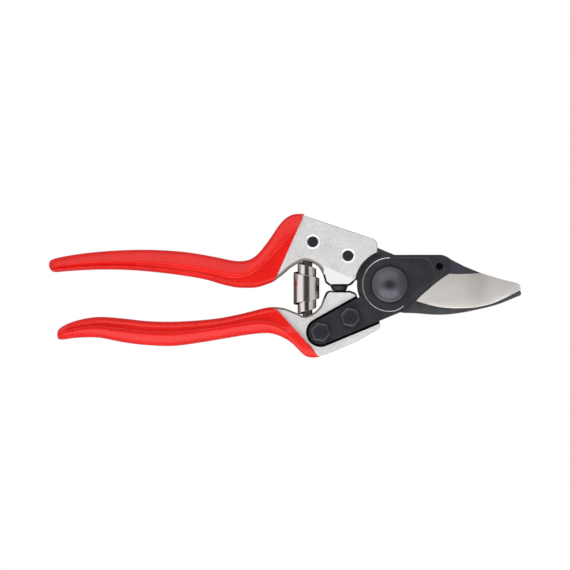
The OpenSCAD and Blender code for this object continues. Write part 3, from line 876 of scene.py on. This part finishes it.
def spun(profile, steps=64, centre=(0, 0)):
    # turns a profile of (radius, height) once round the axis; it starts and ends on the axis
    bm = bmesh.new()
    verts = [bm.verts.new((r, 0, z)) for r, z in profile]
    edges = [bm.edges.new(pair) for pair in zip(verts, verts[1:])]
    bmesh.ops.spin(bm, geom=verts + edges, cent=(0, 0, 0), axis=(0, 0, 1), angle=2 * math.pi, steps=steps,
                   use_merge=True)
    bmesh.ops.remove_doubles(bm, verts=bm.verts, dist=1e-4)
    bmesh.ops.recalc_face_normals(bm, faces=bm.faces)
    bmesh.ops.translate(bm, vec=(centre[0], centre[1], 0), verts=bm.verts)
    return bm


pivotBolt = {"radius": 7.7, "height": 3.8, "lip": 0.25, "shank": 4, "chamfer": 0.5, "steps": 14}


def makePivotBolt():
    look = pivotBolt
    radius, height, lip, shank, steps = (look[k] for k in ("radius", "height", "lip", "shank", "steps"))
    base = domeTop - height
    crown = (radius ** 2 + height ** 2) / (2 * height)
    slope = math.degrees(math.asin(radius / crown))
    dome = [(crown * math.sin(math.radians(a)), domeTop - crown + crown * math.cos(math.radians(a)))
            for a in [slope * (1 - i / steps) for i in range(steps + 1)]]
    dome[0] = (radius, base + lip)
    dome[-1] = (0, domeTop)
    chamfer = look["chamfer"]
    profile = [(0, boltLow), (shank - chamfer, boltLow), (shank, boltLow + chamfer), (shank, base),
               (radius - lip, base)] + dome
    finishPiece("pivotBolt", spun(profile), [blackSteel], "hook_side", ["pivot_bolt"], sharp=40)


def makeBladeBolt(name, place, node):
    look = bladeBolt
    low, shoulder = bladeHigh, bladeHigh + look["shoulder"]
    bm = outlineSolid(hexagon(place, look["halfWidth"]), low, shoulder)
    topFace = max(bm.faces, key=lambda f: f.calc_center_median().z)
    bmesh.ops.inset_region(bm, faces=[topFace], thickness=look["chamfer"], depth=low + look["height"] - shoulder)
    softened(bm, look["edgeRound"], 2, 20)
    middle = Matrix.Translation((place[0], place[1], (headLow + low) / 2 + look["shankLift"]))
    bmesh.ops.create_cone(bm, cap_ends=True, segments=48, radius1=look["shank"], radius2=look["shank"],
                          depth=low - headLow, matrix=middle)
    finishPiece(name, bm, [boltSteel], "blade_side", [node], sharp=30)


bumper = {"x": -22.2, "seat": -0.6, "tipRadius": 3.1, "seatRadius": 4, "edgeRound": 0.25}


def makeBumper():
    look = bumper
    low, seat = span("bumper", 1)[0], look["seat"]
    bm = bmesh.new()
    turn = Matrix.Translation((look["x"], (low + seat) / 2, headMid)) @ Matrix.Rotation(math.radians(-90), 4, "X")
    bmesh.ops.create_cone(bm, cap_ends=True, segments=48, radius1=look["tipRadius"], radius2=look["seatRadius"],
                          depth=seat - low, matrix=turn)
    softened(bm, look["edgeRound"], 3, 40)
    finishPiece("rubberBumper", bm, [rubber], "hook_side", ["bumper"], sharp=30)


# radius and half width change with the number of turns from the outside in
spring = {"axisX": -36.9, "middle": -1.65, "turns": 2, "steps": 40, "columns": 6, "strip": 0.5, "edgeRound": 0.12,
          "blendHalf": 11,
          "radius": [(0, 5.9), (0.5, 5.6), (1, 4.5), (1.5, 3.8), (2, 2.8)],
          "half": [(0, 4.4), (0.5, 7.1), (1, 8.6), (1.45, 11.3), (2, 12)]}


def makeSpring():
    look = spring
    columns = look["columns"]

    def place(i, side):
        t = i / look["steps"]
        radius, half = atShare(look["radius"], t), atShare(look["half"], t)
        turn = 2 * math.pi * t
        return Vector((look["axisX"] + radius * math.cos(turn), look["middle"] + side * half,
                       headMid + radius * math.sin(turn)))

    bm = bmesh.new()
    sides = [-1 + 2 * k / columns for k in range(columns + 1)]
    row = [bm.verts.new(place(0, side)) for side in sides]
    for pair in zip(row, row[1:]):
        bm.edges.new(pair)
    for i in range(1, look["turns"] * look["steps"] + 1):
        row = growRing(bm, row, [place(i, side) for side in sides], closed=False)
    bmesh.ops.recalc_face_normals(bm, faces=bm.faces)
    bmesh.ops.solidify(bm, geom=bm.faces[:], thickness=look["strip"])
    bmesh.ops.recalc_face_normals(bm, faces=bm.faces)
    softened(bm, look["edgeRound"], 1, 60)
    piece = finishPiece("voluteSpring", bm, [springSteel], None, ["return_spring"], sharp=40)
    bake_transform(piece)


makePivotBolt()
makeRivet("frontRivet", rivetPlaces[0], "hook_rivet_front")
makeRivet("rearRivet", rivetPlaces[1], "hook_rivet_rear")
makeBladeBolt("frontBladeBolt", boltPlaces[0], "blade_bolt_front")
makeBladeBolt("rearBladeBolt", boltPlaces[1], "blade_bolt_rear")
makeBumper()
makeSpring()
print("bolts, bumper and spring made")


driverSlot = {"turn": 0.6, "halfWidth": 0.5, "depth": 0.7}


def softenedCopy(name, node, material, body, width, slotted):
    # the CAD's own shape with its edges broken, and a driver slot in the screws
    bm = bmesh.new()
    bm.from_mesh(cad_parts[node].data)
    bmesh.ops.scale(bm, vec=(1 / mm, 1 / mm, 1 / mm), verts=bm.verts)
    bmesh.ops.remove_doubles(bm, verts=bm.verts, dist=1e-3)
    bmesh.ops.dissolve_limit(bm, angle_limit=math.radians(2), verts=bm.verts, edges=bm.edges)
    if slotted:
        (left, right), (front, back), (low, high) = (span(node, axis) for axis in (0, 1, 2))
        turn = driverSlot["turn"]
        along = Vector((math.cos(turn), math.sin(turn))) * (right - left)
        across = Vector((-along.y, along.x)).normalized() * driverSlot["halfWidth"]
        centre = Vector(((left + right) / 2, (front + back) / 2))
        corners = [centre - along - across, centre + along - across, centre + along + across, centre - along + across]
        bm = cutAway(bm, [outlineSolid(corners, low - 1, low + driverSlot["depth"])])
    softened(bm, width, 2, 50, lambda e: e.is_convex)
    finishPiece(name, bm, [material], body, [node], sharp=40)


for name, node, material, body, slot, width, slotted in [
        ("toothedNut", "adjusting_nut", blackSteel, "hook_side", "black_bolt", 0.15, False),
        ("lockingSegment", "locking_segment", zinc, "hook_side", "zinc", 0.2, False),
        ("segmentScrew", "segment_screw", zinc, "hook_side", "zinc", 0.2, True),
        ("catchScrew", "catch_screw", zinc, "hook_side", "zinc", 0.25, True),
        ("catchWasher", "catch_washer", zinc, "hook_side", "zinc", 0.1, False),
        ("thumbCatch", "thumb_catch", enamel, "catch", "catch", 0.3, False),
        ("frontNut", "blade_nut_front", zinc, "blade_side", "zinc", 0.25, False),
        ("rearNut", "blade_nut_rear", zinc, "blade_side", "zinc", 0.25, False),
        ("catchStud", "catch_stud", zinc, "blade_side", "zinc", 0.2, False),
        ("nutWasher", "nut_washer", zinc, "hook_side", "zinc", 0.1, False)]:
    softenedCopy(name, node, material, body, width, slotted)
for placeholder in placeholders:
    bpy.data.materials.remove(placeholder)

# the washer under the blade stays as the CAD has it
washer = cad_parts["friction_washer"]
washer.data.materials.clear()
washer.data.materials.append(blackSteel)
print("hardware made")


view = {"centre": (-46.3, -0.2), "width": 252.5, "lens": 200, "sensor": 36}


def makeCamera():
    data = bpy.data.cameras.new("camera")
    data.lens = view["lens"]
    data.sensor_width = view["sensor"]
    distance = view["width"] * mm * view["lens"] / view["sensor"]
    camera = bpy.data.objects.new("camera", data)
    camera.location = (view["centre"][0] * mm, view["centre"][1] * mm, bladeHigh * mm + distance)
    bpy.context.scene.collection.objects.link(camera)
    bpy.context.scene.camera = camera


floorShape = {"half": 4, "drop": 0.3 * mm}  # in metres


def makeFloor():
    bm = bmesh.new()
    bmesh.ops.create_grid(bm, x_segments=1, y_segments=1, size=floorShape["half"])
    bmesh.ops.translate(bm, vec=(0, 0, -floorShape["drop"]), verts=bm.verts)
    material, tree = newMaterial("paleFloor")
    # white to the eye, dimmer in what it throws back, as a floor well below the tool would be
    seen = addNode(tree, "ShaderNodeLightPath").outputs["Is Camera Ray"]
    paint = addNode(tree, "ShaderNodeBsdfDiffuse", {"Color": toLinear("8C8C8C")})
    glow = addNode(tree, "ShaderNodeEmission", {"Color": toLinear("FFFFFF"), "Strength": 1.0})
    both = addNode(tree, "ShaderNodeMixShader", {"Fac": seen})
    tree.links.new(paint.outputs["BSDF"], both.inputs[1])
    tree.links.new(glow.outputs["Emission"], both.inputs[2])
    addNode(tree, "ShaderNodeOutputMaterial", {"Surface": both.outputs["Shader"]})
    floor = finishPiece("floor", bm, [material], None, metres=True)


def softLight(name, place, target, size, power):
    data = bpy.data.lights.new(name, "AREA")
    data.shape = "RECTANGLE"
    data.size, data.size_y = size
    data.energy = power
    light = bpy.data.objects.new(name, data)
    light.location = place
    light.rotation_euler = (Vector(target) - Vector(place)).to_track_quat("-Z", "Y").to_euler()
    bpy.context.scene.collection.objects.link(light)


def makeWorld():
    # an even pale studio with a darker ceiling right above, which polished metal shows as a dark stripe
    world = bpy.data.worlds.new("studio")
    bpy.context.scene.world = world
    world.use_nodes = True
    tree = world.node_tree
    tree.nodes.clear()
    place = addNode(tree, "ShaderNodeTexCoord")
    parts = addNode(tree, "ShaderNodeSeparateXYZ", {"Vector": place.outputs["Generated"]})
    ramp = addNode(tree, "ShaderNodeValToRGB", {"Fac": parts.outputs["Z"]})
    low, high = ramp.color_ramp.elements
    low.position, low.color = 0.86, (1, 1, 1, 1)
    high.position, high.color = 0.9, (0.02, 0.02, 0.024, 1)
    # the side towards the grips is the brighter one
    strength = addNode(tree, "ShaderNodeMapRange", {"Value": parts.outputs["X"], "From Min": -1.0, "From Max": 1.0,
                                                    "To Min": 1.2, "To Max": 0.75})
    background = addNode(tree, "ShaderNodeBackground", {"Color": ramp.outputs["Color"],
                                                        "Strength": strength.outputs["Result"]})
    addNode(tree, "ShaderNodeOutputWorld", {"Surface": background.outputs["Background"]})


makeCamera()
makeFloor()
makeWorld()
# places and sizes in metres, power in watts
for name, place, size, power in [("keyFront", (-0.05, -0.85, 0.62), (2.2, 1.0), 9.5),
                                 ("fillBack", (-0.15, 0.9, 0.75), (2.6, 1.5), 7)]:
    softLight(name, place, (-0.04, 0, 0), size, power)
bpy.context.scene.view_settings.view_transform = "Standard"
print("studio made")
